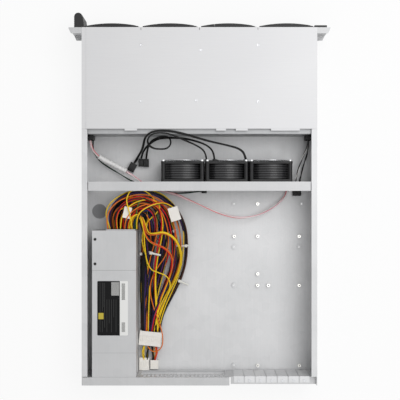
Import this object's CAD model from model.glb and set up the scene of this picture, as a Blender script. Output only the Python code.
"""Looks of a 2U rackmount server case: drive trays, fans, a stacked power supply and its wiring."""
import math
import random

import bpy
from mathutils import Matrix, Vector


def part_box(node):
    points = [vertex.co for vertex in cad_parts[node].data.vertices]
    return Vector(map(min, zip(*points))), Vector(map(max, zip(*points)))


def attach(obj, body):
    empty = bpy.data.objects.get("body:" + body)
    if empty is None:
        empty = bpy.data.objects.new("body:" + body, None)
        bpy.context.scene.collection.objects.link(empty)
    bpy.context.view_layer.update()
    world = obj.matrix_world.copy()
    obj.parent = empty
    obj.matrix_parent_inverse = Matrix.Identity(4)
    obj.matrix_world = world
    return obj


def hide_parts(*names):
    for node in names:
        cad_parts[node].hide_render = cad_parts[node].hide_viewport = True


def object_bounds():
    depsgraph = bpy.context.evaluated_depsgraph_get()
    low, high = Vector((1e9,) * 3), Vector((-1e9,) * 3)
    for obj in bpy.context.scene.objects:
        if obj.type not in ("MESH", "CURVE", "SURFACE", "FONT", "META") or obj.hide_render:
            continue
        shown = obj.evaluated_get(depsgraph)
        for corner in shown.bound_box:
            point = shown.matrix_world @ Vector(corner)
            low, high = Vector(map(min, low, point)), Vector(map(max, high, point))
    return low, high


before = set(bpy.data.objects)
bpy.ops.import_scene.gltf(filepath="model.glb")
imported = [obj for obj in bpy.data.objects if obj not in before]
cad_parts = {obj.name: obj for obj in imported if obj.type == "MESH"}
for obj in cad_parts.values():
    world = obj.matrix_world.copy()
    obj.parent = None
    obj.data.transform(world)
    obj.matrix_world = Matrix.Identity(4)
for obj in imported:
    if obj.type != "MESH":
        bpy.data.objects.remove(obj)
cad_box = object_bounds()

# ---- Studio ----
# A camera straight above the open case, with the drive trays at the top of the view,
# over a white sheet of floor, under one wide soft lamp and an even white room.
case_low, case_high = cad_box
rim_height = 0.087
camera_above = 1.8  # from the rim up
view_width = 0.736  # what the camera sees across, at the rim
view_middle = (-0.001, (case_low.y + case_high.y) / 2 + 0.0028)
camera = bpy.data.objects.new("studio_camera", bpy.data.cameras.new("studio_camera"))
bpy.context.scene.collection.objects.link(camera)
camera.data.sensor_width = 36
camera.data.lens = camera.data.sensor_width * camera_above / view_width
camera.location = (*view_middle, rim_height + camera_above)
camera.rotation_euler = (0, 0, math.pi)
bpy.context.scene.camera = camera
bpy.context.scene.view_settings.view_transform = "Standard"


class Value:
    """A shader socket that can be used in sums, each of which adds its Math node."""

    def __init__(self, finish, socket):
        self.finish = finish
        self.socket = socket

    def sum(self, operation, first, second):
        return self.finish.node("Math", {"operation": operation}, {0: first, 1: second})

    def __add__(self, other):
        return self.sum("ADD", self, other)

    def __radd__(self, other):
        return self.sum("ADD", other, self)

    def __sub__(self, other):
        return self.sum("SUBTRACT", self, other)

    def __rsub__(self, other):
        return self.sum("SUBTRACT", other, self)

    def __mul__(self, other):
        return self.sum("MULTIPLY", self, other)

    def __rmul__(self, other):
        return self.sum("MULTIPLY", other, self)

    def __gt__(self, other):
        return self.sum("GREATER_THAN", self, other)

    def __lt__(self, other):
        return self.sum("LESS_THAN", self, other)


class Finish:
    """A material under construction, whose nodes are added one by one and whose shader is set by name."""

    def __init__(self, name, **plain):
        self.material = bpy.data.materials.new(name)
        self.material.use_nodes = True
        self.tree = self.material.node_tree
        self.shader = self.tree.nodes["Principled BSDF"]
        for socket, value in plain.items():
            self.set(socket, value)

    def set(self, socket, value):
        self.join(self.shader.inputs[socket.replace("_", " ")], value)

    def join(self, socket, value):
        if isinstance(value, Value):
            self.tree.links.new(value.socket, socket)
        elif isinstance(value, tuple) and len(value) == 3 and len(socket.default_value) == 4:
            socket.default_value = (*value, 1)
        else:
            socket.default_value = value

    def node(self, kind, settings=None, sockets=None, output=0):
        """Adds a node: first its settings, such as a ramp's stops, then its sockets' values or links."""
        made = self.tree.nodes.new("ShaderNode" + kind)
        for name, value in (settings or {}).items():
            if name == "stops":
                for element, (position, colour) in zip(made.color_ramp.elements, value):
                    element.position = position
                    element.color = (*colour, 1)
            else:
                setattr(made, name, value)
        for name, value in (sockets or {}).items():
            self.join(made.inputs[name], value)
        return Value(self, made.outputs[output])

    def place(self):
        return self.node("TexCoord", output="Object")

    def along(self, axis):
        return self.node("SeparateXYZ", sockets={"Vector": self.place()}, output=axis)

    def stretched(self, scale):
        return self.node("Mapping", sockets={"Vector": self.place(), "Scale": scale})

    def noise(self, scale, detail=2.0, vector=None):
        sockets = {"Vector": vector or self.place(), "Scale": scale, "Detail": detail}
        return self.node("TexNoise", sockets=sockets)

    def ramp(self, tone, first, second):
        """A colour by tone, between two stops that each have a position from 0 to 1 and a colour."""
        return self.node("ValToRGB", {"stops": (first, second)}, {"Fac": tone})

    def blend(self, factor, first, second):
        return self.node("Mix", {"data_type": "RGBA"}, {"Factor": factor, 6: first, 7: second}, output=2)

    def bump(self, height, depth, strength):
        sockets = {"Height": height, "Distance": depth, "Strength": strength}
        self.set("Normal", self.node("Bump", sockets=sockets))


class Room(Finish):
    """The world round the object, with the same tools as a finish."""

    def __init__(self, name):
        self.world = bpy.data.worlds.new(name)
        self.world.use_nodes = True
        self.tree = self.world.node_tree
        self.shader = self.tree.nodes["Background"]


def in_sight(finish):
    """1 where a surface or the room is looked at, straight or in metal, and 0 where it only gives light."""
    straight, mirrored, through = [finish.node("LightPath", output="Is %s Ray" % kind)
                                   for kind in ("Camera", "Glossy", "Transmission")]
    return straight.sum("MAXIMUM", straight, mirrored + through)


def add(primitive, name, **settings):
    """Adds a primitive as the only selected object, named, with its place and size applied to its mesh."""
    bpy.ops.object.select_all(action="DESELECT")
    primitive(**settings)
    made = bpy.context.active_object
    made.name = made.data.name = name
    bpy.ops.object.transform_apply(location=True, rotation=True, scale=True)
    return made


floor_glow = 0.86
floor_gap = 0.0005
floor_finish = Finish("white_floor", Base_Color=(0.93, 0.93, 0.93), Roughness=0.9)
lit = Value(floor_finish, floor_finish.shader.outputs[0])
glow = floor_finish.node("Emission", sockets={"Color": (1, 1, 1), "Strength": 1.0})
floor_mix = floor_finish.node("MixShader", sockets={0: in_sight(floor_finish) * floor_glow, 1: lit, 2: glow})
floor_finish.join(floor_finish.tree.nodes["Material Output"].inputs[0], floor_mix)
studio_floor = add(bpy.ops.mesh.primitive_plane_add, "studio_floor", size=30,
                   location=(0, 0, case_low.z - floor_gap))
studio_floor.data.materials.append(floor_finish.material)

room_light = 0.47
room = Room("white_room")
room.set("Color", (1, 1, 1))
room.set("Strength", in_sight(room) * (1 - room_light) + room_light)
bpy.context.scene.world = room.world
lamp = bpy.data.objects.new("wide_lamp", bpy.data.lights.new("wide_lamp", "AREA"))
lamp.data.shape = "RECTANGLE"
lamp.data.size = 1.4
lamp.data.size_y = 2.2
lamp.data.energy = 25
lamp.location = (-0.75, -0.5, 1.9)
lamp.rotation_euler = (0.26, -0.37, 0)
bpy.context.scene.collection.objects.link(lamp)


# ---- Wiring harness of the power supply ----
# Loose bundles of tinned copper wires in PVC, 18 gauge, that leave the distribution section's front,
# turn back over each other and are tied with nylon ties on their way to the main board plug.
def smooth_line(name, route):
    """The points along a route's spline."""
    curve = bpy.data.curves.new(name + "_line", "CURVE")
    curve.dimensions = "3D"
    curve.resolution_u = 10
    spline = curve.splines.new("NURBS")
    spline.points.add(len(route) - 1)
    for point, spot in zip(spline.points, route):
        point.co = (*spot, 1)
    spline.order_u = 3
    spline.use_endpoint_u = True
    holder = bpy.data.objects.new(name + "_line", curve)
    bpy.context.scene.collection.objects.link(holder)
    mesh = bpy.data.meshes.new_from_object(holder)
    points = [vertex.co.copy() for vertex in mesh.vertices]
    bpy.data.objects.remove(holder)
    return points


def sections_along(line):
    """Two square directions at each point of a line, carried along it without a twist."""
    side = (line[1] - line[0]).orthogonal().normalized()
    found = []
    for i, point in enumerate(line):
        ahead = (line[min(i + 1, len(line) - 1)] - line[max(i - 1, 0)]).normalized()
        side = (side - ahead * side.dot(ahead)).normalized()
        found.append((point, side, ahead.cross(side)))
    return found


def lay_of(count):
    """Places of round wires in a bundle of radius 1, and the radius of one wire."""
    if count == 1:
        return [(0.0, 0.0)], 1.0
    core = 0 if count < many_wires else 1
    sine = math.sin(math.pi / (count - core))
    reach = 1 / (1 + sine)
    places = [(reach, 2 * math.pi * i / (count - core)) for i in range(count - core)]
    return places + [(0.0, 0.0)] * core, 1 - reach


def wire_bundle(name, route, diameter, colours, twist, seed):
    """One mesh of insulated wires side by side along a route, each with its colour, twisted by an angle."""
    dice = random.Random(seed)
    line = smooth_line(name, route)
    sections = sections_along(line)
    places, share = lay_of(len(colours))
    radius = diameter / 2 * share
    corners, faces, tints = [], [], []
    for (reach, turn), colour in zip(places, colours):
        phase = dice.uniform(0, 6.28)
        sway = dice.uniform(0.05, 0.1) if len(colours) < many_wires else dice.uniform(0.1, 0.24)
        first = len(corners)
        for i, (point, side, up) in enumerate(sections):
            run = i / (len(sections) - 1)
            angle = turn + twist * run + 0.5 * math.sin(5 * run + phase)
            waves = math.sin(9 * run + phase) + math.sin(17 * run + 2 * phase)
            out = diameter / 2 * (reach + sway * waves * math.sin(math.pi * run))
            middle = point + side * (out * math.cos(angle)) + up * (out * math.sin(angle))
            for k in range(wire_sides):
                a = 2 * math.pi * k / wire_sides
                corners.append(middle + side * (radius * math.cos(a)) + up * (radius * math.sin(a)))
                tints.append(colour)
        for i in range(len(sections) - 1):
            for k in range(wire_sides):
                a = first + i * wire_sides + k
                b = first + i * wire_sides + (k + 1) % wire_sides
                faces.append((a, b, b + wire_sides, a + wire_sides))
        last = len(corners) - wire_sides
        faces.append(tuple(first + k for k in reversed(range(wire_sides))))
        faces.append(tuple(last + k for k in range(wire_sides)))
    mesh = bpy.data.meshes.new(name)
    mesh.from_pydata(corners, [], faces)
    layer = mesh.color_attributes.new("wire_colour", "FLOAT_COLOR", "POINT")
    for item, colour in zip(layer.data, tints):
        item.color = (*colour, 1)
    mesh.shade_smooth()
    mesh.materials.append(insulation.material)
    made = bpy.data.objects.new(name, mesh)
    bpy.context.scene.collection.objects.link(made)
    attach(made, "case")
    return made, line


lines = {}
frame_shift = 0.0009


def in_frame(route):
    """A route's points among the finished parts, which lie a little further along Y."""
    return [(x, round(y + frame_shift, 4), z) for x, y, z in route]


def lay_wires(table, slot_name, *stands_for, twist, first_seed):
    """Makes the bundles of a table: each has a diameter, a length, its wires' colours and its route."""
    for seed, (name, (diameter, length, colours, route)) in enumerate(table.items(), first_seed):
        made, lines[name] = wire_bundle(name, in_frame(route), diameter, colours, twist, seed)
        if stands_for:
            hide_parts(*stands_for)


def declare_cords(table, plugs, others):
    """Declares a table's bundles as cords, with the plug at the end of each and the other pieces on it."""
    for name, (diameter, length, colours, route) in table.items():
        end = plugs.get(name, [])
        in_frame(route)[0]
        end + others.get(name, [])


def srgb(red, green, blue):
    """A colour as it is seen, from 0 to 255, turned to the linear values that a shader takes."""
    channels = [c / 255 for c in (red, green, blue)]
    return tuple(c / 12.92 if c <= 0.04045 else ((c + 0.055) / 1.055) ** 2.4 for c in channels)


wire_sides = 8
many_wires = 7
single_gauge = 0.0022
yellow = srgb(244, 206, 34)
orange = srgb(224, 116, 34)
red = srgb(214, 32, 30)
black = srgb(10, 9, 9)
brown = srgb(74, 38, 24)
purple = srgb(58, 36, 92)
blue = srgb(44, 74, 150)
green = srgb(66, 110, 52)
insulation = Finish("wire_insulation", Roughness=0.38, Specular_IOR_Level=0.28)
insulation.set("Base_Color", insulation.node("Attribute", {"attribute_name": "wire_colour"}))
insulation.bump(insulation.noise(900), depth=0.0001, strength=0.3)

bundles = {
    "rear_brown": (0.007, 0.437, [black, brown, black, purple, brown, black, black], [
        (0.164, 0.056, 0.052), (0.168, 0.037, 0.056), (0.162, 0.014, 0.061), (0.146, -0.004, 0.064),
        (0.124, -0.012, 0.063), (0.098, -0.013, 0.058), (0.074, -0.007, 0.051), (0.054, 0.008, 0.043),
        (0.038, 0.029, 0.033), (0.028, 0.056, 0.023), (0.025, 0.086, 0.016), (0.026, 0.117, 0.012),
        (0.033, 0.146, 0.009), (0.045, 0.171, 0.008), (0.058, 0.194, 0.008), (0.07, 0.217, 0.009),
        (0.076, 0.238, 0.011), (0.078, 0.254, 0.014)]),
    "outer_yellow": (0.006, 0.393, [yellow, black, yellow, black, brown], [
        (0.153, 0.056, 0.046), (0.158, 0.039, 0.05), (0.153, 0.02, 0.055), (0.137, 0.004, 0.057),
        (0.115, -0.002, 0.055), (0.092, -0.001, 0.05), (0.072, 0.01, 0.042), (0.059, 0.029, 0.033),
        (0.05, 0.053, 0.025), (0.043, 0.078, 0.019), (0.04, 0.105, 0.015), (0.043, 0.132, 0.013),
        (0.053, 0.157, 0.017), (0.066, 0.182, 0.02), (0.077, 0.205, 0.019), (0.084, 0.23, 0.017),
        (0.087, 0.254, 0.014)]),
    "inner_brown": (0.004, 0.308, [brown, black, orange], [
        (0.141, 0.056, 0.036), (0.144, 0.037, 0.042), (0.139, 0.02, 0.046), (0.125, 0.012, 0.047),
        (0.112, 0.019, 0.044), (0.106, 0.036, 0.038), (0.106, 0.059, 0.031), (0.109, 0.084, 0.024),
        (0.112, 0.113, 0.016), (0.112, 0.144, 0.011), (0.113, 0.175, 0.009), (0.111, 0.205, 0.008),
        (0.111, 0.231, 0.01), (0.11, 0.254, 0.014)]),
    "middle_orange": (0.0055, 0.313, [orange, orange, black, red, orange], [
        (0.128, 0.056, 0.056), (0.129, 0.038, 0.061), (0.121, 0.021, 0.064), (0.105, 0.014, 0.063),
        (0.09, 0.02, 0.059), (0.082, 0.036, 0.053), (0.081, 0.056, 0.046), (0.085, 0.079, 0.039),
        (0.093, 0.104, 0.032), (0.098, 0.133, 0.025), (0.1, 0.164, 0.02), (0.101, 0.195, 0.017),
        (0.101, 0.226, 0.015), (0.102, 0.254, 0.014)]),
    "low_purple": (0.007, 0.304, [purple, black, blue, black, black, purple, black], [
        (0.136, 0.056, 0.024), (0.134, 0.037, 0.027), (0.119, 0.022, 0.029), (0.098, 0.022, 0.028),
        (0.081, 0.036, 0.023), (0.073, 0.059, 0.018), (0.072, 0.087, 0.014), (0.076, 0.115, 0.011),
        (0.082, 0.144, 0.008), (0.088, 0.173, 0.007), (0.091, 0.202, 0.008), (0.094, 0.229, 0.011),
        (0.094, 0.254, 0.014)]),
}
tails = {
    "molex_branch": (0.005, 0.102, [red, red, yellow, black], [
        (0.115, 0.056, 0.068), (0.116, 0.039, 0.071), (0.109, 0.024, 0.073), (0.095, 0.014, 0.071),
        (0.079, 0.008, 0.067), (0.064, 0.007, 0.059), (0.051, 0.0156, 0.05)]),
    "tail_a": (0.005, 0.034, [yellow, black, black, yellow], [
        (0.106, 0.281, 0.014), (0.108, 0.291, 0.017), (0.107, 0.302, 0.014), (0.105, 0.312, 0.008)]),
    "tail_b": (0.005, 0.030, [orange, black, red], [
        (0.084, 0.281, 0.014), (0.082, 0.29, 0.016), (0.083, 0.3, 0.013), (0.086, 0.309, 0.008)]),
}
loose_bundles = {
    "black_core_high": (0.01, 0.326, [
        black, black, yellow, black, black, red, black, black, purple, black, black, black], [
        (0.148, 0.056, 0.044), (0.15, 0.038, 0.05), (0.142, 0.02, 0.053), (0.126, 0.008, 0.054),
        (0.11, 0.008, 0.051), (0.1, 0.02, 0.046), (0.097, 0.04, 0.04), (0.099, 0.064, 0.034),
        (0.103, 0.092, 0.029), (0.106, 0.124, 0.024), (0.107, 0.16, 0.019), (0.106, 0.2, 0.015),
        (0.104, 0.254, 0.013)]),
    "black_core_inner": (0.01, 0.280, [
        black, purple, black, black, orange, black, black, black, black, purple, black, black], [
        (0.126, 0.056, 0.034), (0.126, 0.04, 0.042), (0.116, 0.027, 0.047), (0.104, 0.026, 0.046),
        (0.094, 0.038, 0.042), (0.089, 0.058, 0.037), (0.088, 0.084, 0.032), (0.092, 0.114, 0.027),
        (0.097, 0.146, 0.022), (0.099, 0.18, 0.018), (0.097, 0.216, 0.015), (0.092, 0.254, 0.013)]),
    "black_core_outer": (0.01, 0.383, [
        black, purple, black, black, yellow, black, black, red, black, black, purple, black], [
        (0.162, 0.056, 0.038), (0.166, 0.038, 0.044), (0.16, 0.018, 0.05), (0.143, 0.003, 0.054),
        (0.12, -0.004, 0.055), (0.096, -0.002, 0.052), (0.078, 0.01, 0.047), (0.068, 0.03, 0.041),
        (0.064, 0.056, 0.035), (0.065, 0.086, 0.029), (0.07, 0.118, 0.024), (0.078, 0.15, 0.02),
        (0.084, 0.182, 0.017), (0.086, 0.218, 0.015), (0.084, 0.254, 0.013)]),
    "yellow_mid_bow": (0.006, 0.370, [yellow, red, black, red, yellow], [
        (0.154, 0.056, 0.064), (0.157, 0.038, 0.069), (0.15, 0.018, 0.072), (0.134, 0.003, 0.072),
        (0.112, -0.004, 0.069), (0.09, 0.002, 0.064), (0.076, 0.018, 0.057), (0.07, 0.04, 0.049),
        (0.072, 0.066, 0.042), (0.078, 0.094, 0.036), (0.083, 0.124, 0.03), (0.085, 0.158, 0.025),
        (0.083, 0.192, 0.021), (0.08, 0.224, 0.018), (0.081, 0.254, 0.014)]),
    "black_core_low": (0.01, 0.251, [
        black, blue, black, black, brown, black, green, black, black, purple, black, black], [
        (0.121, 0.056, 0.024), (0.12, 0.042, 0.032), (0.112, 0.034, 0.036), (0.103, 0.042, 0.036),
        (0.1, 0.062, 0.032), (0.101, 0.09, 0.027), (0.1, 0.124, 0.022), (0.097, 0.16, 0.018),
        (0.093, 0.2, 0.014), (0.09, 0.254, 0.012)]),
    "yellow_cross_bow": (0.0055, 0.320, [yellow, yellow, orange, yellow, black], [
        (0.127, 0.056, 0.05), (0.126, 0.04, 0.054), (0.117, 0.028, 0.055), (0.107, 0.035, 0.053),
        (0.102, 0.052, 0.051), (0.097, 0.066, 0.05), (0.084, 0.066, 0.05), (0.067, 0.062, 0.049),
        (0.048, 0.072, 0.046), (0.037, 0.09, 0.042), (0.033, 0.111, 0.036), (0.037, 0.134, 0.03),
        (0.048, 0.158, 0.025), (0.06, 0.182, 0.021), (0.072, 0.208, 0.019), (0.08, 0.232, 0.017),
        (0.086, 0.254, 0.014)]),
    "orange_cross": (0.004, 0.298, [orange, red, yellow], [
        (0.133, 0.056, 0.062), (0.132, 0.04, 0.066), (0.122, 0.028, 0.068), (0.11, 0.034, 0.064),
        (0.105, 0.052, 0.059), (0.101, 0.068, 0.055), (0.094, 0.079, 0.053), (0.082, 0.086, 0.051),
        (0.066, 0.092, 0.047), (0.054, 0.104, 0.043), (0.05, 0.122, 0.038), (0.056, 0.146, 0.032),
        (0.066, 0.17, 0.027), (0.076, 0.196, 0.022), (0.082, 0.224, 0.019), (0.087, 0.254, 0.015)]),
    "black_fill_side": (0.01, 0.324, [
        black, black, purple, black, orange, black, black, yellow, black, black, black, red], [
        (0.156, 0.056, 0.056), (0.16, 0.036, 0.06), (0.15, 0.016, 0.063), (0.132, 0.008, 0.062),
        (0.118, 0.016, 0.056), (0.109, 0.034, 0.048), (0.102, 0.06, 0.04), (0.096, 0.092, 0.032),
        (0.093, 0.124, 0.025), (0.096, 0.158, 0.02), (0.101, 0.192, 0.016), (0.104, 0.226, 0.013),
        (0.106, 0.254, 0.013)]),
    "red_cross": (0.01, 0.363, [
        black, purple, black, red, black, black, orange, black, black, red, purple, black], [
        (0.145, 0.056, 0.052), (0.147, 0.038, 0.057), (0.138, 0.022, 0.061), (0.122, 0.01, 0.062),
        (0.104, 0.005, 0.059), (0.088, 0.008, 0.053), (0.074, 0.018, 0.046), (0.063, 0.033, 0.039),
        (0.056, 0.054, 0.031), (0.05, 0.078, 0.025), (0.048, 0.104, 0.021), (0.051, 0.131, 0.019),
        (0.06, 0.157, 0.02), (0.071, 0.182, 0.02), (0.081, 0.206, 0.019), (0.088, 0.23, 0.017),
        (0.091, 0.254, 0.014)]),
}
loose_tails = {
    "tail_c": (0.005, 0.033, [black, yellow, black, black], [
        (0.097, 0.281, 0.014), (0.099, 0.291, 0.016), (0.1, 0.302, 0.014), (0.101, 0.312, 0.008)]),
    "tail_d": (0.005, 0.030, [black, red, yellow, black], [
        (0.091, 0.281, 0.012), (0.089, 0.29, 0.015), (0.088, 0.3, 0.013), (0.089, 0.309, 0.008)]),
}
single_wires = {
    "single_yellow_front": (single_gauge, 0.393, [yellow], [
        (0.125, 0.056, 0.07), (0.127, 0.038, 0.074), (0.131, 0.02, 0.077), (0.136, 0.002, 0.078),
        (0.13, -0.014, 0.076), (0.116, -0.02, 0.072), (0.098, -0.014, 0.066), (0.084, 0, 0.058),
        (0.074, 0.02, 0.05), (0.068, 0.044, 0.04), (0.064, 0.07, 0.032), (0.062, 0.096, 0.027),
        (0.066, 0.124, 0.023), (0.072, 0.152, 0.02), (0.08, 0.184, 0.02), (0.086, 0.22, 0.019),
        (0.09, 0.254, 0.015)]),
    "single_yellow_side": (single_gauge, 0.446, [yellow], [
        (0.167, 0.056, 0.06), (0.171, 0.042, 0.064), (0.175, 0.028, 0.066), (0.17, 0.012, 0.066),
        (0.158, 0, 0.065), (0.142, -0.01, 0.062), (0.12, -0.018, 0.058), (0.096, -0.018, 0.053),
        (0.07, -0.01, 0.046), (0.05, 0.008, 0.038), (0.036, 0.03, 0.029), (0.03, 0.058, 0.022),
        (0.03, 0.088, 0.018), (0.033, 0.118, 0.016), (0.04, 0.148, 0.015), (0.052, 0.176, 0.014),
        (0.066, 0.206, 0.014), (0.074, 0.232, 0.015), (0.079, 0.254, 0.012)]),
    "single_orange_arch": (single_gauge, 0.393, [orange], [
        (0.159, 0.056, 0.04), (0.157, 0.038, 0.047), (0.15, 0.022, 0.054), (0.138, 0.008, 0.06),
        (0.118, -0.002, 0.064), (0.098, -0.002, 0.064), (0.076, 0.004, 0.058), (0.06, 0.018, 0.05),
        (0.05, 0.038, 0.04), (0.046, 0.062, 0.032), (0.046, 0.09, 0.026), (0.05, 0.118, 0.022),
        (0.058, 0.146, 0.02), (0.068, 0.172, 0.021), (0.078, 0.2, 0.021), (0.082, 0.228, 0.018),
        (0.084, 0.254, 0.012)]),
    "single_green": (single_gauge, 0.343, [green], [
        (0.121, 0.056, 0.062), (0.118, 0.038, 0.066), (0.117, 0.022, 0.068), (0.113, 0.006, 0.068),
        (0.101, -0.004, 0.066), (0.088, 0, 0.061), (0.08, 0.014, 0.054), (0.078, 0.034, 0.047),
        (0.08, 0.058, 0.04), (0.086, 0.086, 0.034), (0.092, 0.114, 0.028), (0.096, 0.146, 0.022),
        (0.098, 0.178, 0.018), (0.1, 0.212, 0.016), (0.099, 0.254, 0.012)]),
    "single_yellow_turn": (single_gauge, 0.370, [yellow], [
        (0.147, 0.056, 0.066), (0.146, 0.038, 0.07), (0.138, 0.02, 0.072), (0.12, 0.006, 0.07),
        (0.098, 0, 0.065), (0.08, 0.004, 0.06), (0.072, 0.016, 0.056), (0.084, 0.03, 0.052),
        (0.098, 0.042, 0.046), (0.106, 0.058, 0.041), (0.109, 0.076, 0.037), (0.106, 0.094, 0.033),
        (0.101, 0.112, 0.029), (0.097, 0.14, 0.025), (0.095, 0.17, 0.022), (0.097, 0.21, 0.02),
        (0.098, 0.254, 0.017)]),
    "single_red": (single_gauge, 0.357, [red], [
        (0.131, 0.056, 0.036), (0.132, 0.038, 0.044), (0.122, 0.02, 0.05), (0.104, 0.006, 0.053),
        (0.084, 0.004, 0.051), (0.066, 0.014, 0.046), (0.054, 0.032, 0.04), (0.046, 0.054, 0.034),
        (0.044, 0.08, 0.028), (0.048, 0.106, 0.023), (0.056, 0.132, 0.02), (0.066, 0.158, 0.017),
        (0.076, 0.186, 0.015), (0.084, 0.214, 0.014), (0.088, 0.254, 0.011)]),
    "single_pink": (single_gauge, 0.329, [red], [
        (0.15, 0.056, 0.024), (0.15, 0.038, 0.032), (0.14, 0.022, 0.038), (0.124, 0.014, 0.04),
        (0.11, 0.02, 0.038), (0.098, 0.034, 0.034), (0.092, 0.052, 0.03), (0.086, 0.07, 0.028),
        (0.074, 0.082, 0.027), (0.062, 0.09, 0.025), (0.058, 0.104, 0.022), (0.064, 0.124, 0.018),
        (0.076, 0.148, 0.015), (0.086, 0.176, 0.014), (0.092, 0.212, 0.013), (0.094, 0.254, 0.01)]),
    "single_yellow_low": (single_gauge, 0.294, [yellow], [
        (0.13, 0.056, 0.066), (0.128, 0.038, 0.07), (0.116, 0.026, 0.07), (0.107, 0.038, 0.064),
        (0.104, 0.062, 0.056), (0.103, 0.09, 0.048), (0.1, 0.116, 0.042), (0.092, 0.134, 0.039),
        (0.078, 0.139, 0.037), (0.062, 0.145, 0.035), (0.054, 0.16, 0.031), (0.06, 0.182, 0.026),
        (0.07, 0.206, 0.022), (0.078, 0.23, 0.018), (0.08, 0.254, 0.015)]),
    "single_orange_long": (single_gauge, 0.414, [orange], [
        (0.139, 0.056, 0.07), (0.138, 0.038, 0.073), (0.124, 0.022, 0.074), (0.104, 0.01, 0.07),
        (0.084, 0.01, 0.064), (0.07, 0.024, 0.055), (0.062, 0.046, 0.046), (0.058, 0.072, 0.038),
        (0.06, 0.094, 0.033), (0.066, 0.111, 0.029), (0.08, 0.13, 0.026), (0.091, 0.15, 0.024),
        (0.095, 0.176, 0.022), (0.088, 0.206, 0.021), (0.078, 0.232, 0.02), (0.07, 0.258, 0.021),
        (0.07, 0.28, 0.02), (0.08, 0.292, 0.018), (0.094, 0.291, 0.017), (0.099, 0.281, 0.016)]),
    "single_black_mid": (single_gauge, 0.343, [black], [
        (0.141, 0.056, 0.05), (0.143, 0.036, 0.056), (0.134, 0.018, 0.06), (0.118, 0.006, 0.06),
        (0.1, 0.004, 0.057), (0.086, 0.014, 0.052), (0.08, 0.032, 0.046), (0.082, 0.054, 0.04),
        (0.09, 0.08, 0.034), (0.098, 0.106, 0.028), (0.104, 0.134, 0.022), (0.106, 0.166, 0.017),
        (0.106, 0.198, 0.014), (0.108, 0.226, 0.014), (0.109, 0.254, 0.012)]),
    "single_black_low": (single_gauge, 0.422, [black], [
        (0.166, 0.056, 0.034), (0.17, 0.038, 0.04), (0.166, 0.02, 0.045), (0.152, 0.004, 0.049),
        (0.132, -0.008, 0.05), (0.108, -0.012, 0.048), (0.084, -0.008, 0.044), (0.062, 0.006, 0.038),
        (0.046, 0.028, 0.03), (0.038, 0.054, 0.023), (0.036, 0.084, 0.018), (0.038, 0.114, 0.014),
        (0.046, 0.144, 0.012), (0.056, 0.17, 0.012), (0.068, 0.196, 0.013), (0.078, 0.224, 0.014),
        (0.083, 0.254, 0.011)]),
    "single_blue": (single_gauge, 0.295, [blue], [
        (0.125, 0.056, 0.044), (0.124, 0.04, 0.05), (0.112, 0.026, 0.054), (0.098, 0.02, 0.054),
        (0.088, 0.028, 0.05), (0.084, 0.046, 0.044), (0.086, 0.07, 0.036), (0.094, 0.098, 0.028),
        (0.102, 0.128, 0.021), (0.107, 0.16, 0.016), (0.108, 0.196, 0.013), (0.106, 0.226, 0.013),
        (0.104, 0.254, 0.011)]),
    "single_purple": (single_gauge, 0.358, [purple], [
        (0.159, 0.056, 0.024), (0.161, 0.038, 0.03), (0.152, 0.02, 0.035), (0.134, 0.008, 0.037),
        (0.112, 0.006, 0.036), (0.09, 0.014, 0.033), (0.074, 0.03, 0.029), (0.064, 0.054, 0.024),
        (0.06, 0.082, 0.019), (0.062, 0.11, 0.015), (0.068, 0.138, 0.012), (0.076, 0.168, 0.011),
        (0.084, 0.2, 0.011), (0.09, 0.228, 0.012), (0.091, 0.254, 0.01)]),
    "single_orange_high": (single_gauge, 0.421, [orange], [
        (0.17, 0.056, 0.07), (0.173, 0.04, 0.073), (0.168, 0.022, 0.075), (0.154, 0.006, 0.075),
        (0.134, -0.004, 0.073), (0.112, -0.009, 0.069), (0.088, -0.006, 0.063), (0.066, 0.006, 0.054),
        (0.05, 0.026, 0.044), (0.04, 0.05, 0.035), (0.035, 0.078, 0.028), (0.035, 0.106, 0.023),
        (0.041, 0.134, 0.019), (0.052, 0.16, 0.018), (0.064, 0.188, 0.019), (0.076, 0.216, 0.019),
        (0.082, 0.24, 0.017), (0.085, 0.254, 0.015)]),
}


def grained(name, scale, depth, strength, **plain):
    """A plain finish with an even grain."""
    made = Finish(name, **plain)
    made.bump(made.noise(scale), depth, strength)
    return made


white_nylon = grained("white_nylon", scale=1400, depth=0.00005, strength=0.4, Roughness=0.42,
                      Coat_Weight=0.1)
cloud = white_nylon.noise(160)
white_nylon.set("Base_Color", white_nylon.blend(cloud, srgb(246, 243, 238), srgb(234, 230, 222)))
tie_nylon = Finish("tie_nylon", Base_Color=srgb(228, 227, 220), Roughness=0.35)


def block(name, low, high):
    """A block between two corners, ready to be shaped."""
    low, high = Vector(low), Vector(high)
    return add(bpy.ops.mesh.primitive_cube_add, name, size=1, location=(low + high) / 2, scale=high - low)


def tube(name, sides, radius, length):
    """An open tube without a wall, its axis up and its middle on the origin."""
    return add(bpy.ops.mesh.primitive_cylinder_add, name, vertices=sides, radius=radius, depth=length,
               end_fill_type="NOTHING")


def thicken(made, thickness):
    """Gives a tube its wall, round the outside."""
    wall = made.modifiers.new("wall", "SOLIDIFY")
    wall.thickness = thickness
    wall.offset = 1
    bpy.ops.object.modifier_apply(modifier="wall")


def hold(made):
    """Makes a piece the active one and the only one selected."""
    bpy.ops.object.select_all(action="DESELECT")
    made.select_set(True)
    bpy.context.view_layer.objects.active = made


def pick(made, test):
    """Opens a piece in edit mode with the faces selected that a test of their middle and normal accepts."""
    hold(made)
    bpy.ops.object.mode_set(mode="EDIT")
    bpy.ops.mesh.select_mode(type="FACE")
    bpy.ops.mesh.select_all(action="DESELECT")
    bpy.ops.object.mode_set(mode="OBJECT")
    for face in made.data.polygons:
        face.select = bool(test(face.center, face.normal))
    bpy.ops.object.mode_set(mode="EDIT")


def done():
    bpy.ops.object.mode_set(mode="OBJECT")


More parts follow.
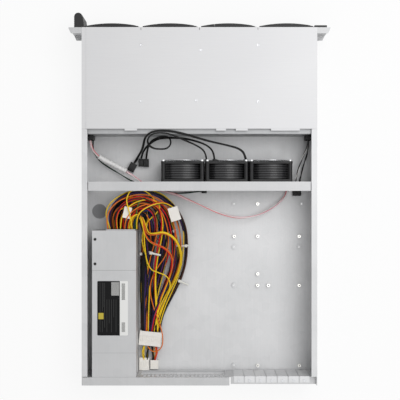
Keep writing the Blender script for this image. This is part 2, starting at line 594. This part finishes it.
def toward(*direction):
    """A test for faces that look along a direction."""
    return lambda middle, facing: facing.dot(Vector(direction)) > 0.9


def slice_at(made, places, normal):
    """Cuts edges right round a piece in planes square to an axis."""
    pick(made, lambda middle, facing: True)
    for reach in places:
        bpy.ops.mesh.select_all(action="SELECT")
        bpy.ops.mesh.bisect(plane_co=[reach * n for n in normal], plane_no=normal)
    done()


def sink(made, test, rim, depth, singly=True):
    """Insets the faces that a test accepts, singly or as one, and pushes them in."""
    pick(made, test)
    bpy.ops.mesh.inset(thickness=rim, use_individual=singly)
    bpy.ops.mesh.extrude_faces_move(TRANSFORM_OT_shrink_fatten={"value": -depth})
    done()


def soften(made, width, segments):
    """Rounds a piece's sharp edges with a bevel modifier, applied."""
    bevel = made.modifiers.new("round", "BEVEL")
    bevel.width = width
    bevel.segments = segments
    bevel.limit_method = "ANGLE"
    bevel.angle_limit = 0.6
    hold(made)
    bpy.ops.object.modifier_apply(modifier="round")
    bpy.ops.object.shade_smooth_by_angle(angle=0.7)


def about_z(degrees):
    return Matrix.Rotation(math.radians(degrees), 3, "Z")


def place(made, turn, spot):
    """Moves a piece's mesh to its place in the object."""
    made.data.transform(Matrix.Translation(spot) @ turn.to_4x4())
    made.data.update()


def finish_piece(made, finish, slot_name, *stands_for):
    """Gives a piece its finish, its slot and the CAD nodes that it stands for, and ties it to the case."""
    made.data.materials.clear()
    made.data.materials.append(finish.material)
    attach(made, "case")
    if stands_for:
        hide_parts(*stands_for)
    return made


def wire_plug(name, size, middle, *stands_for, columns, rows, degrees=0):
    """A nylon housing with a cell for each wire at one end and a deeper socket for each pin at the other."""
    width, length, height = size
    made = block(name, -Vector(size) / 2, Vector(size) / 2)
    slice_at(made, [width * (i / columns - 0.5) for i in range(1, columns)], (1, 0, 0))
    slice_at(made, [height * (i / rows - 0.5) for i in range(1, rows)], (0, 0, 1))
    cell = min(width / columns, height / rows)
    sink(made, toward(0, -1, 0), rim=cell * 0.14, depth=length * 0.18)
    sink(made, toward(0, 1, 0), rim=cell * 0.2, depth=length * 0.45)
    first, last = -length * 0.2, length * 0.24
    slice_at(made, [first, last], (0, 1, 0))
    sink(made, lambda at, facing: facing.z > 0.9 and first < at.y < last and abs(at.z - height / 2) < 1e-5,
         rim=cell * 0.16, depth=height * 0.07)
    place(made, about_z(degrees), Vector(middle))
    return finish_piece(made, white_nylon, "white_nylon", *stands_for)


main_plug = wire_plug("main_board_plug", (0.042, 0.027, 0.0138), (0.094, 0.2676, 0.0139), "psu_plugs",
                      columns=12, rows=2, degrees=-6)
drive_plug = wire_plug("drive_power_plug", (0.019, 0.026, 0.0105), (0.047, 0.0289, 0.0492), "psu_plugs",
                       columns=4, rows=1, degrees=17)
aux_plug = wire_plug("board_aux_plug", (0.019, 0.024, 0.0114), (0.106, 0.3169, 0.0072), "psu_plugs",
                     columns=4, rows=2)
signal_plug = wire_plug("signal_plug", (0.015, 0.017, 0.0104), (0.0865, 0.3184, 0.0067), "psu_plugs",
                        columns=3, rows=2)
spare_plug = wire_plug("spare_drive_plug", (0.014, 0.021, 0.0098), (0.134, 0.0262, 0.0685),
                       columns=3, rows=1, degrees=-12)

lay_wires(bundles, "psu_wire", "psu_cable_bundle", twist=4.2, first_seed=0)
lay_wires(tails, "psu_wire", "psu_cable_bundle", twist=0.6, first_seed=5)
lay_wires(loose_bundles, "psu_wire", twist=5.5, first_seed=10)
lay_wires(loose_tails, "psu_wire", twist=0.6, first_seed=19)
lay_wires(single_wires, "psu_wire", twist=0, first_seed=0)

strap_width = 0.0028
strap_thickness = 0.0011
tie_head = Vector((0.0048, 0.0044, 0.0052))
head_overlap = 0.0002
tail_steps = 6


def cable_tie(name, bundle, share, radius, side_of_tail):
    """A nylon strap pulled tight round a bundle, with its square head on top and its tail left long."""
    line = lines[bundle]
    point, side, up = sections_along(line)[int(share * (len(line) - 1))]
    ahead = side.cross(up)
    strap = tube(name, 28, radius, strap_width)
    thicken(strap, strap_thickness)
    corner = Vector((-tie_head.x / 2, radius - head_overlap, -tie_head.z / 2))
    head = block(name + "_head", corner, corner + tie_head)
    sink(head, lambda at, facing: abs(facing.x) > 0.9, rim=0.0009, depth=0.0012)
    hold(strap)
    head.select_set(True)
    bpy.ops.object.join()
    soften(strap, width=0.0003, segments=1)
    pick(strap, lambda at, facing: facing.x * side_of_tail > 0.9 and at.y > radius + strap_thickness / 2)
    for step in range(tail_steps):
        move = (side_of_tail * strap_width, -0.00012 * step, 0)
        bpy.ops.mesh.extrude_region_move(TRANSFORM_OT_translate={"value": move})
        bpy.ops.transform.resize(value=(1, 0.7 if step < 2 else 1, 0.75 if step < 1 else 1))
    done()
    skyward = (Vector((0, 0, 1)) - ahead * ahead.z).normalized()
    place(strap, Matrix((skyward.cross(ahead), skyward, ahead)).transposed(), point)
    return finish_piece(strap, tie_nylon, "white_nylon")


# what ends each cord, and what else is on it
plugs = {"middle_orange": [main_plug], "molex_branch": [drive_plug], "tail_a": [aux_plug],
         "tail_b": [signal_plug]}
others = {
    "rear_brown": [cable_tie("tie_rear", "rear_brown", share=0.6, radius=0.0044, side_of_tail=-1),
                   cable_tie("tie_end", "rear_brown", share=0.75, radius=0.0044, side_of_tail=1)],
    "outer_yellow": [cable_tie("tie_outer", "outer_yellow", share=0.52, radius=0.0039, side_of_tail=-1)],
    "middle_orange": [cable_tie("tie_middle", "middle_orange", share=0.62, radius=0.0037, side_of_tail=1)],
    "inner_brown": [cable_tie("tie_inner", "inner_brown", share=0.6, radius=0.003, side_of_tail=1)],
    "black_fill_side": [spare_plug],
}
for table in (bundles, tails, loose_bundles, loose_tails, single_wires):
    declare_cords(table, plugs, others)


# ---- Leads of the fans ----
# Three leads in black PVC, clipped at the top of each fan, that run over the cage's rear strip
# and down to the row of fan headers behind it.
leads = {
    "fan_1": (0.0036, 0.293, [black, black, black], [
        (-0.013, -0.074, 0.066), (-0.012, -0.085, 0.068), (-0.003, -0.095, 0.071), (0.011, -0.102, 0.074),
        (0.026, -0.108, 0.0775), (0.041, -0.114, 0.0815), (0.055, -0.1195, 0.0851),
        (0.069, -0.1216, 0.0851), (0.082, -0.121, 0.085), (0.0925, -0.116, 0.082), (0.097, -0.107, 0.076),
        (0.093, -0.098, 0.07), (0.0835, -0.0935, 0.065), (0.072, -0.093, 0.061), (0.061, -0.094, 0.057),
        (0.054, -0.101, 0.053), (0.054, -0.111, 0.0485), (0.061, -0.1178, 0.0445), (0.073, -0.118, 0.0405),
        (0.0845, -0.115, 0.036), (0.093, -0.1085, 0.031), (0.0975, -0.1, 0.025), (0.0997, -0.0915, 0.0185),
        (0.1012, -0.0845, 0.0125), (0.102, -0.0773, 0.0085)]),
    "fan_2": (0.0045, 0.191, [black, black, black], [
        (-0.028, -0.074, 0.0755), (-0.027, -0.086, 0.074), (-0.018, -0.097, 0.071),
        (-0.003, -0.1045, 0.067), (0.013, -0.1095, 0.0615), (0.03, -0.1135, 0.0545),
        (0.047, -0.1155, 0.0465), (0.063, -0.116, 0.038), (0.078, -0.1145, 0.0295),
        (0.0905, -0.109, 0.0225), (0.0995, -0.1015, 0.0175), (0.1055, -0.0935, 0.013),
        (0.1098, -0.0858, 0.0095), (0.112, -0.0779, 0.0078)]),
    "fan_3": (0.0045, 0.299, [black, black, black], [
        (-0.086, -0.074, 0.066), (-0.084, -0.085, 0.067), (-0.073, -0.094, 0.069), (-0.057, -0.0985, 0.071),
        (-0.039, -0.1025, 0.0745), (-0.021, -0.106, 0.0785), (-0.003, -0.1105, 0.082),
        (0.015, -0.1155, 0.0845), (0.033, -0.1208, 0.0851), (0.05, -0.1248, 0.0852),
        (0.066, -0.1266, 0.0852), (0.082, -0.126, 0.0852), (0.0945, -0.1205, 0.084), (0.101, -0.112, 0.078),
        (0.1035, -0.1045, 0.0675), (0.1055, -0.0985, 0.056), (0.108, -0.0935, 0.044),
        (0.111, -0.0893, 0.0325), (0.1144, -0.0852, 0.0225), (0.1178, -0.0808, 0.015),
        (0.1206, -0.076, 0.0106), (0.1228, -0.0723, 0.0089), (0.125, -0.0688, 0.0084)]),
}
lay_wires(leads, "fan_wire", "fan_cables", twist=5.0, first_seed=40)


def speckled(name, dark, light, scale, detail, depth, strength, **plain):
    """A finish whose grain shows in its colour and in its surface."""
    made = Finish(name, **plain)
    grain = made.noise(scale, detail)
    made.set("Base_Color", made.blend(grain, dark, light))
    made.bump(grain, depth, strength)
    return made


def small_plug(name, size, middle, finish, slot_name, cells, degrees=0):
    """A small housing on a lead's end, with its wires' cells on one side and a latch rib on top."""
    width = size[0] / cells
    made = block(name, -Vector(size) / 2, Vector(size) / 2)
    slice_at(made, [width * i - size[0] / 2 for i in range(1, cells)], (1, 0, 0))
    sink(made, toward(0, -1, 0), rim=width * 0.16, depth=0.0016)
    sink(made, toward(0, 0, 1), rim=min(width, size[1]) * 0.22, depth=-0.0005, singly=False)
    soften(made, width=0.0004, segments=2)
    place(made, about_z(degrees), Vector(middle))
    return finish_piece(made, finish, slot_name, "lead_plugs")


black_nylon = speckled("black_nylon", srgb(18, 18, 19), srgb(10, 10, 11), scale=900, detail=2.0,
                       depth=0.00005, strength=0.5, Roughness=0.45, Specular_IOR_Level=0.3)
fan_plug_size = (0.0092, 0.015, 0.0112)
lead_plugs = {
    "fan_1": [small_plug("fan_plug_inner", fan_plug_size, (0.102, -0.0683, 0.007), black_nylon,
                         "black_nylon", cells=3)],
    "fan_2": [small_plug("fan_plug_middle", fan_plug_size, (0.1122, -0.0688, 0.007), black_nylon,
                         "black_nylon", cells=3)],
    "fan_3": [small_plug("fan_plug_outer", (0.013, 0.017, 0.0116), (0.1292, -0.0601, 0.0072), black_nylon,
                         "black_nylon", cells=4, degrees=-28)],
}
declare_cords(leads, lead_plugs, {})
clip_reach = 0.004
for name, (diameter, length, colours, route) in leads.items():
    leaves = Vector(in_frame(route)[0])
    clip = block(name + "_clip", leaves - Vector((clip_reach, 0, clip_reach)),
                 leaves + Vector((clip_reach, clip_reach, clip_reach)))
    sink(clip, toward(0, -1, 0), rim=0.0014, depth=0.0012)
    soften(clip, width=0.0006, segments=2)
    finish_piece(clip, black_nylon, "black_nylon", "lead_plugs")


# ---- Wires of the front panel ----
# Twisted pairs for the buttons and lamps, that come through the rubber grommets of the side walls
# and lie loose on the case's floor.
dark_green = srgb(28, 62, 48)
white = srgb(240, 238, 234)
grey = srgb(120, 120, 122)
pink = srgb(246, 190, 202)
pale_red = srgb(234, 128, 140)
panel_runs = {
    "panel_long": (0.004, 0.444, [pink, white, pale_red, white], [
        (0.206, -0.1111, 0.038), (0.205, -0.099, 0.036), (0.199, -0.088, 0.033), (0.189, -0.079, 0.03),
        (0.175, -0.071, 0.028), (0.159, -0.063, 0.027), (0.142, -0.054, 0.027), (0.126, -0.044, 0.027),
        (0.111, -0.033, 0.026), (0.097, -0.024, 0.024), (0.081, -0.017, 0.023), (0.062, -0.013, 0.025),
        (0.041, -0.008, 0.028), (0.02, 0.002, 0.03), (-0.001, 0.011, 0.03), (-0.022, 0.021, 0.028),
        (-0.043, 0.029, 0.026), (-0.062, 0.034, 0.024), (-0.081, 0.036, 0.022), (-0.103, 0.033, 0.02),
        (-0.123, 0.026, 0.019), (-0.142, 0.015, 0.018), (-0.156, 0.003, 0.015), (-0.166, -0.006, 0.011),
        (-0.1675, -0.016, 0.008)]),
    "panel_dark": (0.003, 0.252, [dark_green, black], [
        (0.203, -0.1111, 0.02), (0.204, -0.098, 0.019), (0.2, -0.084, 0.018), (0.189, -0.071, 0.017),
        (0.173, -0.06, 0.016), (0.156, -0.05, 0.016), (0.14, -0.04, 0.016), (0.124, -0.032, 0.015),
        (0.107, -0.025, 0.014), (0.087, -0.019, 0.013), (0.064, -0.014, 0.013), (0.042, -0.011, 0.012),
        (0.02, -0.012, 0.01), (-0.004, -0.015, 0.007)]),
    "panel_grey": (0.003, 0.102, [grey, white, black], [
        (-0.205, -0.1111, 0.036), (-0.204, -0.099, 0.034), (-0.199, -0.086, 0.031), (-0.193, -0.072, 0.028),
        (-0.188, -0.056, 0.025), (-0.185, -0.043, 0.022), (-0.183, -0.031, 0.017),
        (-0.184, -0.018, 0.008)]),
    "panel_black": (0.003, 0.097, [black, black], [
        (-0.208, -0.1111, 0.018), (-0.208, -0.097, 0.017), (-0.205, -0.082, 0.015), (-0.2, -0.067, 0.013),
        (-0.196, -0.052, 0.012), (-0.193, -0.038, 0.011), (-0.191, -0.027, 0.009), (-0.19, -0.018, 0.006)]),
}
lay_wires(panel_runs, "panel_wire", "panel_cables", twist=14.0, first_seed=40)


def sleeve(name, line, first, last, radius):
    """A thin nylon sleeve pushed over a stretch of wires, a little slack and uneven along its length."""
    sections = sections_along(line)[int(first * len(line)):int(last * len(line))]
    steps = len(sections) - 1
    made = tube(name, 16, radius, 1)
    slice_at(made, [i / steps - 0.5 for i in range(1, steps)], (0, 0, 1))
    for vertex in made.data.vertices:
        step = round((vertex.co.z + 0.5) * steps)
        point, side, up = sections[step]
        slack = 1 + 0.12 * math.sin(step * 1.7) + 0.08 * math.sin(step * 4.1)
        vertex.co = point + side * (vertex.co.x * slack) + up * (vertex.co.y * slack)
    thicken(made, thickness=0.0004)
    bpy.ops.object.shade_smooth()
    return finish_piece(made, sleeve_nylon, "white_nylon")


sleeve_nylon = grained("sleeve_nylon", scale=700, depth=0.0002, strength=0.5,
                       Base_Color=srgb(236, 235, 234), Roughness=0.55)
panel_plugs = {
    "panel_long": [small_plug("panel_plug_long", (0.011, 0.012, 0.0086), (-0.1675, -0.0211, 0.007),
                              white_nylon, "white_nylon", cells=3, degrees=180)],
    "panel_dark": [small_plug("panel_plug_dark", (0.009, 0.01, 0.0066), (-0.009, -0.0146, 0.006),
                              black_nylon, "black_nylon", cells=2, degrees=90)],
    "panel_grey": [small_plug("panel_plug_right", (0.016, 0.012, 0.009), (-0.187, -0.0111, 0.006),
                              black_nylon, "black_nylon", cells=4)],
}
covering = sleeve("panel_sleeve", lines["panel_long"], first=0.1, last=0.25, radius=0.0044)
declare_cords(panel_runs, panel_plugs, {"panel_long": [covering]})

rubber = grained("grommet_rubber", scale=500, depth=0.0002, strength=0.5, Base_Color=srgb(22, 22, 23),
                 Roughness=0.6)
grommet_reach = 0.206
grommet_half = 0.006
for side, name in ((1, "grommet_left"), (-1, "grommet_right")):
    ring = block(name, (side * grommet_reach - grommet_half, -0.1194, 0.012),
                 (side * grommet_reach + grommet_half, -0.1104, 0.046))
    sink(ring, lambda at, facing: abs(facing.y) > 0.9, rim=0.002, depth=0.0028)
    soften(ring, width=0.0016, segments=3)
    finish_piece(ring, rubber, "black_nylon", "lead_plugs")


# ---- Case body and drive cage ----
# Galvanised steel sheet, folded and spot-welded: the zinc's spangle shows as patches of
# different grey, and the rolling marks run from front to rear.
def zinc_sheet(name, dark, light, scale, metal, rough):
    """Hot-dip galvanised sheet between two greys, with spangle patches about 1/scale metres wide."""
    made = Finish(name, Metallic=metal)
    cells = made.node("TexVoronoi", {}, {"Vector": made.place(), "Scale": scale}, output="Color")
    patch = made.node("SeparateColor", sockets={"Color": cells})
    cloud = made.noise(9, 3.0)
    rolling = made.noise(6, 2.0, made.stretched((60, 2.5, 60)))
    tone = patch * 0.14 + cloud * 0.6 + rolling * 0.25 - 0.02
    made.colour = made.ramp(tone, (0.2, dark), (0.75, light))
    made.set("Base_Color", made.colour)
    made.set("Roughness", patch * 0.05 + rolling * 0.1 + rough)
    made.bump(rolling, depth=0.0002, strength=0.07)
    return made


def dress(finish, *nodes):
    """Gives CAD nodes a finish."""
    for name in nodes:
        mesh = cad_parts[name].data
        mesh.materials.clear()
        mesh.materials.append(finish.material)


zinc = zinc_sheet("galvanised_sheet", srgb(186, 187, 188), srgb(210, 210, 211), scale=70, metal=0.5,
                  rough=0.46)
dress(zinc, "chassis_base")
cage_zinc = zinc_sheet("cage_sheet", srgb(150, 151, 153), srgb(176, 177, 178), scale=70, metal=0.4,
                       rough=0.42)
dress(cage_zinc, "drive_cage")
plug_grey = grained("plug_grey", scale=500, depth=0.0001, strength=0.4, Base_Color=srgb(150, 151, 153),
                    Roughness=0.6)
dress(plug_grey, "hole_plug")


# ---- Board mounts ----
# Nickel-plated hexagonal spacers, turned on a lathe and screwed into the floor, that carry
# the main board.
def plated(name, colour, metal, scale, spread, rough):
    """Smooth plated metal that is a little rougher in places."""
    made = Finish(name, Base_Color=colour, Metallic=metal)
    made.set("Roughness", made.noise(scale) * spread + rough)
    return made


nickel = plated("nickel_plate", srgb(222, 221, 216), metal=0.8, scale=700, spread=0.15, rough=0.2)
dress(nickel, "standoffs")

# ---- Front cover ----
# A lid of pre-plated steel over the bays, folded down at both sides and hemmed at the rear,
# held by six flush screws.
cover_sheet = Finish("plated_cover", Metallic=0.15)
haze = cover_sheet.noise(3.5)
fine = cover_sheet.noise(7, 2.0, cover_sheet.stretched((3, 90, 3)))
cover_sheet.set("Base_Color", cover_sheet.ramp(haze * 0.7 + fine * 0.3, (0.3, srgb(208, 208, 210)),
                                               (0.7, srgb(216, 216, 217))))
cover_sheet.set("Roughness", fine * 0.12 + 0.38)
cover_sheet.bump(fine, depth=0.0001, strength=0.12)
dress(cover_sheet, "front_cover")
screw_steel = plated("screw_steel", srgb(196, 197, 199), metal=0.75, scale=900, spread=0.2, rough=0.25)
dress(screw_steel, "screws")


def rod(name, sides, radius, height):
    """A closed cylinder that stands on the origin."""
    return add(bpy.ops.mesh.primitive_cylinder_add, name, vertices=sides, radius=radius, depth=height,
               location=(0, 0, height / 2))


def machine_screw(name, radius, height):
    """A screw head with a domed edge and a sunk drive."""
    made = rod(name, 28, radius, height)
    pick(made, toward(0, 0, 1))
    bpy.ops.mesh.inset(thickness=radius * 0.22)
    bpy.ops.transform.translate(value=(0, 0, height * 0.25))
    bpy.ops.mesh.inset(thickness=radius * 0.28)
    bpy.ops.mesh.extrude_faces_move(TRANSFORM_OT_shrink_fatten={"value": -height * 0.7})
    bpy.ops.transform.resize(value=(0.6, 0.6, 1))
    done()
    soften(made, width=radius * 0.06, segments=1)
    return made


def copies(made, spots, finish, slot_name):
    """Puts copies of a piece, each with its own mesh, in its place: each spot is a turn and a place."""
    for number, (turn, spot) in enumerate(spots, 1):
        mesh = made.data.copy()
        mesh.name = "%s_%d" % (made.name, number)
        copy = bpy.data.objects.new(mesh.name, mesh)
        bpy.context.scene.collection.objects.link(copy)
        place(copy, turn, Vector(spot))
        finish_piece(copy, finish, slot_name)
    bpy.data.objects.remove(made)


upright = Matrix.Identity(3)
front_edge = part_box("front_cover")[0].y
cover_top = 0.0868
screw_foot = 0.0003
# each screw's X and its distance behind the front edge
cover_screws = [(0.108, 0.033), (0.108, 0.136), (-0.002, 0.042), (0.006, 0.135), (-0.1075, 0.033),
                (-0.1075, 0.137)]
copies(machine_screw("cover_screw", radius=0.0027, height=0.0004),
       [(upright, (x, front_edge + behind, cover_top - screw_foot)) for x, behind in cover_screws],
       screw_steel, "screw_steel")


# ---- Drive trays and their levers ----
# Twelve trays of black powder-coated steel, each behind a bulging moulded front whose grille lets
# the air in. The lever is glass-filled nylon, with a fine spark-eroded grain.
def family(*starts):
    """The CAD nodes whose names start in one of these ways."""
    return [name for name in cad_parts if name.startswith(starts)]


powder_coat = speckled("black_powder_coat", srgb(22, 22, 23), srgb(34, 34, 35), scale=420, detail=3.0,
                       depth=0.0002, strength=0.35, Roughness=0.5, Specular_IOR_Level=0.35)
dress(powder_coat, *family("drive_tray_"))
lever_nylon = Finish("lever_nylon", Roughness=0.46, Specular_IOR_Level=0.35)
eroded = lever_nylon.noise(1500, 4.0)
wear = lever_nylon.noise(30)
lever_nylon.set("Base_Color", lever_nylon.ramp(eroded * 0.5 + wear * 0.5, (0.3, srgb(20, 20, 21)),
                                               (0.7, srgb(32, 32, 33))))
lever_nylon.bump(eroded, depth=0.0001, strength=0.4)
dress(lever_nylon, *family("tray_lever_"))

# ---- Backplane and its sockets ----
# A green glass-fibre board behind the trays, etched with lanes of copper under its lacquer,
# with a black socket for each drive.
board = Finish("backplane_board", Roughness=0.35, Coat_Weight=0.3)
board.set("Base_Color", board.node("TexBrick", {"offset": 0.5}, {
    "Vector": board.stretched((140, 140, 140)), "Scale": 1.0, "Color1": srgb(22, 76, 52),
    "Color2": srgb(28, 92, 62), "Mortar": srgb(46, 120, 84), "Mortar Size": 0.04}))
dress(board, "backplane")
dress(black_nylon, "backplane_sockets")

# ---- Fans ----
# Three 80 x 38 mm server fans: black glass-filled frames with ribbed barrels, seven-bladed
# rotors, chromed wire guards in front, and plated nuts on the screws that hold them to the wall.
fan_black = Finish("fan_plastic", Roughness=0.42, Specular_IOR_Level=0.3)
flow = fan_black.noise(60, 3.0)
fibre = fan_black.noise(1100, 3.0)
fan_black.set("Base_Color", fan_black.ramp(flow * 0.6 + fibre * 0.4, (0.3, srgb(14, 14, 15)),
                                           (0.75, srgb(28, 28, 30))))
fan_black.bump(fibre, depth=0.0001, strength=0.4)
fans = family("fan_frame_")
dress(fan_black, *fans)
blade_black = grained("blade_plastic", scale=900, depth=0.00005, strength=0.3,
                      Base_Color=srgb(26, 26, 27), Roughness=0.32)
dress(blade_black, *family("fan_rotor_", "psu_rotor_"))
chrome = plated("chromed_wire", srgb(226, 227, 229), metal=1.0, scale=400, spread=0.12, rough=0.14)
dress(chrome, "fan_guards")


def barrel_ring(name, radius, thickness, width):
    """One of the stiffening rings round a fan's barrel, its axis up."""
    made = tube(name, 72, radius, width)
    thicken(made, thickness)
    soften(made, width=thickness * 0.35, segments=1)
    return made


def hexagon_nut(name, radius, height):
    """A nut with chamfered corners and a bore, its axis up."""
    made = rod(name, 6, radius, height)
    sink(made, toward(0, 0, 1), rim=radius * 0.35, depth=height * 0.4, singly=False)
    soften(made, width=radius * 0.12, segments=2)
    return made


def about_x(degrees):
    return Matrix.Rotation(math.radians(degrees), 3, "X")


ring_black = grained("ring_plastic", scale=900, depth=0.00005, strength=0.3,
                     Base_Color=srgb(66, 66, 68), Roughness=0.28)
rings = 6
ring_pitch = 0.0044
screw_reach = 0.03575
nut_inset = 0.0045
ring_spots, nut_spots = [], []
for name in fans:
    low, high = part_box(name)
    centre = (low + high) / 2
    for i in range(rings):
        ring_spots.append((about_x(90), centre + Vector((0, ring_pitch * (i - (rings - 1) / 2), 0))))
    for side in (-screw_reach, screw_reach):
        for level in (-screw_reach, screw_reach):
            x, z = centre.x + side, centre.z + level
            nut_spots.append((about_x(90), (x, high.y - nut_inset, z)))
            nut_spots.append((about_x(-90), (x, low.y + nut_inset, z)))
copies(barrel_ring("barrel_ring", radius=0.0396, thickness=0.0006, width=0.0016), ring_spots,
       ring_black, "fan_plastic")
copies(hexagon_nut("fan_nut", radius=0.0032, height=0.0022), nut_spots, nickel, "screw_steel")


# ---- Power supply ----
# A welded shell of satin zinc-plated steel with two plug-in modules, red latches and, on top,
# a printed foil plate with plain fields.
def band(value, low, high):
    """1 between two values and 0 outside them."""
    return (value > low) * (value < high)


psu_zinc = zinc_sheet("power_supply_sheet", srgb(184, 185, 186), srgb(198, 198, 199), scale=60,
                      metal=0.3, rough=0.42)
seam_at = psu_zinc.along("Y")
seams = band(seam_at, 0.1321, 0.1328) + band(seam_at, 0.2846, 0.2850)
psu_zinc.set("Base_Color", psu_zinc.blend(seams * 0.6, psu_zinc.colour, srgb(96, 97, 98)))
dress(psu_zinc, "psu_housing", "psu_module_lower", "psu_module_upper")
latch_nylon = grained("latch_nylon", scale=900, depth=0.0001, strength=0.3,
                      Base_Color=srgb(158, 44, 36), Roughness=0.4)
dress(latch_nylon, "psu_latch_lower", "psu_latch_upper")

shell_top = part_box("psu_housing")[1].z
foil_thickness = 0.00025
plate = block("rating_plate", (0.1317, 0.1522, shell_top), (0.1883, 0.2526, shell_top + foil_thickness))
pick(plate, lambda at, facing: False)
bpy.ops.mesh.select_mode(type="EDGE")
done()
for edge in plate.data.edges:
    ends = [plate.data.vertices[i].co for i in edge.vertices]
    edge.select = abs(ends[0].z - ends[1].z) > foil_thickness / 2
bpy.ops.object.mode_set(mode="EDIT")
bpy.ops.mesh.bevel(offset=0.002, segments=5)
done()

# The plate has a pale field with two striped columns and a dark one with rows of grey bars,
# a striped block and a plain yellow patch.
ink = srgb(70, 70, 70)
foil = Finish("plate_foil", Roughness=0.4, Specular_IOR_Level=0.15)
across = foil.along("X")
along = foil.along("Y")
bar_half = 0.0003
# each grey bar's place across the plate, and its two ends along it
grey_bars = [(0.1832, 0.1555, 0.2465), (0.1790, 0.1555, 0.2080), (0.1790, 0.2260, 0.2465),
             (0.1748, 0.1555, 0.2380), (0.1706, 0.1860, 0.2465), (0.1664, 0.1860, 0.2300),
             (0.1622, 0.1860, 0.2465), (0.1580, 0.1860, 0.2190), (0.1538, 0.1860, 0.2465)]
bars = band(across, 0.1768, 0.1772) * band(along, 0.1555, 0.2000)
for row, first, last in grey_bars:
    bar = band(across, row - bar_half, row + bar_half) * band(along, first, last)
    bars = bars.sum("MAXIMUM", bars, bar)
stripes = along.sum("PINGPONG", along, 0.0009) > 0.0004
yellow_patch = band(across, 0.1768, 0.1862) * band(along, 0.2110, 0.2225)
striped_block = band(across, 0.1480, 0.1625) * band(along, 0.1540, 0.1790) * stripes
striped_side = band(across, 0.1372, 0.1435) * (band(along, 0.1570, 0.1870) + band(along, 0.2280, 0.2460))
dark_field = foil.blend(bars, srgb(4, 4, 5), ink)
dark_field = foil.blend(yellow_patch, dark_field, srgb(196, 178, 70))
dark_field = foil.blend(striped_block, dark_field, srgb(214, 214, 212))
pale_field = foil.blend(striped_side * stripes, srgb(238, 238, 236), ink)
foil.set("Base_Color", foil.blend(across > 0.1468, pale_field, dark_field))
finish_piece(plate, foil, "psu_steel")

shell_screws = [(0.1925, 0.0753), (0.1925, 0.1205)]
copies(machine_screw("shell_screw", radius=0.0026, height=0.0008),
       [(upright, (*spot, shell_top)) for spot in shell_screws], black_nylon, "screw_steel")

# ---- Slot covers and rack ears ----
# Plated steel blanks, each under its own screw, the folded ears that carry the case in a rack,
# and the fan wall and rear panel of the same plain sheet.
ear_zinc = zinc_sheet("ear_sheet", srgb(184, 185, 186), srgb(202, 202, 203), scale=60, metal=0.25,
                      rough=0.4)
dress(ear_zinc, "rack_ear_left", "rack_ear_right", "fan_wall", "rear_panel")
blank_zinc = zinc_sheet("blank_sheet", srgb(202, 203, 204), srgb(218, 218, 219), scale=90, metal=0.35,
                        rough=0.36)
dress(blank_zinc, "slot_covers")

# ---- Control pod ----
# A moulded ABS pod with the power and reset buttons at its tip, ribbed down its side for the thumb,
# and the plain cap on the other ear.
pod_abs = speckled("pod_abs", srgb(18, 18, 19), srgb(30, 30, 31), scale=1300, detail=3.0, depth=0.0001,
                   strength=0.45, Roughness=0.5, Specular_IOR_Level=0.4)
dress(pod_abs, "control_pod", "ear_cover")
button_abs = grained("button_abs", scale=800, depth=0.00005, strength=0.2,
                     Base_Color=srgb(74, 76, 80), Roughness=0.3, Coat_Weight=0.2)
dress(button_abs, "power_button", "reset_button")
